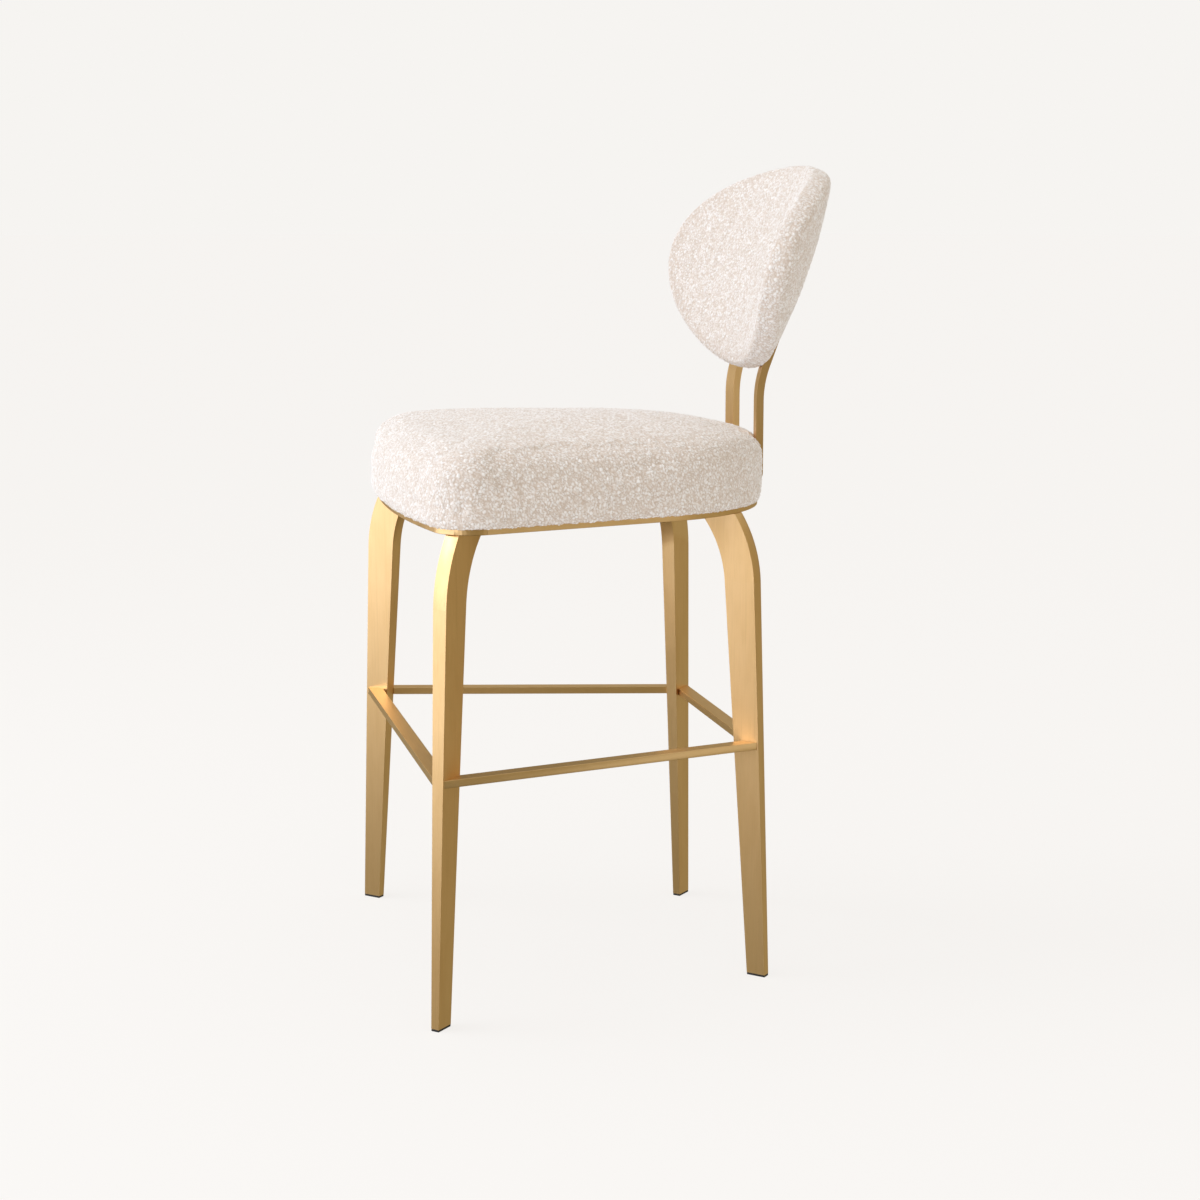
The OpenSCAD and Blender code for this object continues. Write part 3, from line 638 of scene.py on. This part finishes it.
def padPoint(s, h, off):
    turn = s / pad["bendRadius"]
    reach = pad["bendRadius"] + off
    bow = pad["bow"] * (2 * h / pad["height"]) ** 2
    x = reach * math.sin(turn)
    y = reach * math.cos(turn) - pad["bendRadius"] - bow
    lean = math.radians(pad["recline"])
    return Vector((x, y * math.cos(lean) + h * math.sin(lean), h * math.cos(lean) - y * math.sin(lean)))


# Place on the pad: along its width, along its height and off its middle surface
def padPlace(points, shift):
    x, y, z = (points - shift).T
    lean = math.radians(pad["recline"])
    h = y * math.sin(lean) + z * math.cos(lean)
    y = y * math.cos(lean) - z * math.sin(lean) + pad["bendRadius"]
    y = y + pad["bow"] * (2 * h / pad["height"]) ** 2
    return np.arctan2(x, y) * pad["bendRadius"], h, np.hypot(x, y) - pad["bendRadius"]


def padRings(slack):
    half = pad["thickness"] / 2
    thin = half - slack

    def ring(cut, size, off):
        points = []
        for i in range(pad["ringPoints"]):
            a = 2 * math.pi * i / pad["ringPoints"]
            s = pad["width"] / 2 * math.cos(a)
            h = pad["height"] / 2 * math.sin(a)
            share = (1 - cut / math.hypot(s, h)) * size
            points.append(padPoint(s * share, h * share, off))
        return points

    rings = [ring(half, k, thin + pad["swell"] * (1 - k ** 2)) for k in (0.3, 0.6, 0.85)]
    for turn in np.linspace(90, -90, 13):
        across = squared(math.cos(math.radians(turn)), pad["edgePower"])
        off = squared(math.sin(math.radians(turn)), pad["edgePower"])
        rings.append(ring(half * (1 - across), 1, thin * off))
    rings += [ring(half, k, -thin - pad["swell"] * (1 - k ** 2)) for k in (0.85, 0.6, 0.3)]
    return rings


def makeBackPad():
    slack = pad["slack"]
    piece = loftRings("backPad", padRings(slack))
    shift = centreOn(piece, "back_cover", "middle")
    voxelRemesh(piece, pad["voxel"])

    # The rim of the pad and the places where the uprights hold it stay where they are
    def pins(points):
        s, h, off = padPlace(points, shift)
        rim = np.hypot(2 * s / pad["width"], 2 * h / pad["height"])
        held = smoothStep((rim - 1 + pad["edgeHold"]) / pad["edgeHold"])
        bars = np.exp(-((np.abs(s) - pad["barPitch"] / 2) / pad["barReach"]) ** 2)
        bars = bars * (off > 0) * (h < pad["barTop"])
        return np.maximum(held, bars)

    inflate(piece, pad, pins)
    subdivide(piece, 2)

    def press(points):
        s, h, off = padPlace(points, shift)
        seam = np.exp(-((off - pad["seamOff"]) / pad["seamWidth"]) ** 2)
        rim = np.hypot(2 * s / pad["width"], 2 * h / pad["height"])
        return pad["seamDepth"] * seam * smoothStep((rim - pad["seamRim"]) / pad["seamFade"])

    raiseNap(piece, press)
    return piece


softPieces = [
    (makeSeatCushion(), ["seat_cover", "seat_foam"], 0.85),
    (makeBackPad(), ["back_cover", "back_foam"], 0.8),
]
for piece, replaced, fill in softPieces:
    piece.data.materials.clear()
    piece.data.materials.append(boucleCloth)
    piece.data.shade_smooth()
    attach(piece, "root")
    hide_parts(*replaced)
    print(piece.name, "made:", len(piece.data.polygons), "faces")


# Studio: a pale floor and backdrop, a soft key light from the front and a darker room behind the stool

studio = {
    "pale": (0.922, 0.905, 0.880, 1),
    "floorAlbedo": (0.12, 0.118, 0.115, 1),
    "floorStain": (0.10, 0.10, 0.10, 1),
    "floorRadius": 60.0,
    "backdropRadius": 65.0,
    "floorGlow": (0.807, 0.790, 0.773, 1),
    "keyStrength": 0.75,
    "keyTurn": (math.radians(44), 0, math.radians(-12)),
    "keySize": math.radians(32),
    "walls": 0.35, "rear": 0.12, "right": -0.04, "top": 0.72, "nadir": 0.22,
    "wallTint": (1.0, 0.88, 0.56, 1), "topTint": (1.0, 1.0, 1.02, 1),
    "keyTint": (0.97, 0.99, 1.05),
}

# Each panel: middle, width, height, turn from facing +Y in degrees, brightness, tint, and what it lights
panels = {
    "frontGleam": ((0.4, -2.4, 1.40), 5.0, 2.8, 0, 1.75, (0.97, 1.01, 1.16), "metal"),
    "frontGlow": ((0.4, -2.3, 1.40), 5.0, 2.8, 0, 1.20, (0.93, 1.0, 1.13), "cloth"),
    "rearGleam": ((2.3, 2.0, 0.20), 1.2, 2.4, 131, 0.40, (0.98, 1.0, 1.1), "metal"),
    "sideGlow": ((3.6, 0.5, 1.60), 2.4, 2.0, 98, 1.32, (1.04, 0.985, 0.97), "cloth"),
}


def makeStudio():
    world = bpy.data.worlds.new("studio")
    scene.world = world
    world.use_nodes = True
    graph = Graph(world.node_tree)
    heading = graph.node("ShaderNodeTexCoord", output="Generated")
    split = graph.node("ShaderNodeSeparateXYZ", inputs={"Vector": heading})
    x, y, height = (Value(graph, split.socket.node.outputs[axis]) for axis in "XYZ")
    top = height.step(0.30, 0.9)
    strength = (studio["walls"] + y.step(0.2, 0.9) * studio["rear"]
                + (0 - x).step(0.2, 0.9) * studio["right"]
                + top * studio["top"] - (0 - height).step(0.05, 0.7) * studio["nadir"])
    tint = graph.mix(top, studio["wallTint"], studio["topTint"])
    sky = graph.node("ShaderNodeBackground", inputs={"Color": tint, "Strength": strength})
    graph.node("ShaderNodeOutputWorld", inputs={"Surface": sky})

    key = bpy.data.lights.new("key", "SUN")
    key.energy = studio["keyStrength"]
    key.angle = studio["keySize"]
    key.color = studio["keyTint"]
    lamp = bpy.data.objects.new("key", key)
    lamp.rotation_euler = studio["keyTurn"]
    scene.collection.objects.link(lamp)

    for name, (middle, width, tall, turn, brightness, tint, use) in panels.items():
        panel = bpy.data.lights.new(name, "AREA")
        panel.shape = "RECTANGLE"
        panel.size = width
        panel.size_y = tall
        panel.color = tint
        panel.energy = brightness * math.pi * width * tall
        lamp = bpy.data.objects.new(name, panel)
        lamp.location = middle
        lamp.rotation_euler = (math.radians(90), 0, math.radians(turn))
        lamp.visible_camera = False
        lamp.visible_diffuse = use != "metal"
        lamp.visible_glossy = use != "cloth"
        scene.collection.objects.link(lamp)

    material, graph = newMaterial("floorPaint")
    grain = graph.noise(graph.place(), 3.0)
    colour = graph.mix(grain * 0.1, studio["floorAlbedo"], studio["floorStain"])
    finishMaterial(graph, Base_Color=colour, Roughness=1.0, Specular_IOR_Level=0.0,
                   Emission_Color=studio["floorGlow"], Emission_Strength=1.0)
    form = bmesh.new()
    bmesh.ops.create_circle(form, cap_ends=True, segments=96, radius=studio["floorRadius"])
    floor = stageObject("floor", form, material)
    floor.visible_glossy = False

    material, graph = newMaterial("backdropGlow")
    glow = graph.node("ShaderNodeEmission", inputs={"Color": studio["pale"], "Strength": 1.0})
    graph.node("ShaderNodeOutputMaterial", inputs={"Surface": glow})
    form = bmesh.new()
    bmesh.ops.create_uvsphere(form, u_segments=48, v_segments=24, radius=studio["backdropRadius"])
    backdrop = stageObject("backdrop", form, material)
    backdrop.visible_diffuse = backdrop.visible_glossy = backdrop.visible_shadow = False
    backdrop.visible_transmission = backdrop.visible_volume_scatter = False


def stageObject(name, form, material):
    mesh = bpy.data.meshes.new(name)
    form.to_mesh(mesh)
    form.free()
    mesh.materials.append(material)
    made = bpy.data.objects.new(name, mesh)
    scene.collection.objects.link(made)
    return made


makeStudio()

view = {"lens": 69.23, "sensor": 36, "shift": -0.0033, "place": (3.0758, -0.7610, 1.0530),
        "turn": (80.02, 0, 76.04), "far": 200}
camera = bpy.data.cameras.new("camera")
camera.lens = view["lens"]
camera.sensor_width = view["sensor"]
camera.shift_x = view["shift"]
camera.clip_end = view["far"]
eye = bpy.data.objects.new("camera", camera)
eye.location = view["place"]
eye.rotation_euler = [math.radians(angle) for angle in view["turn"]]
scene.collection.objects.link(eye)
scene.camera = eye
scene.view_settings.view_transform = "Standard"
print("studio and camera ready")
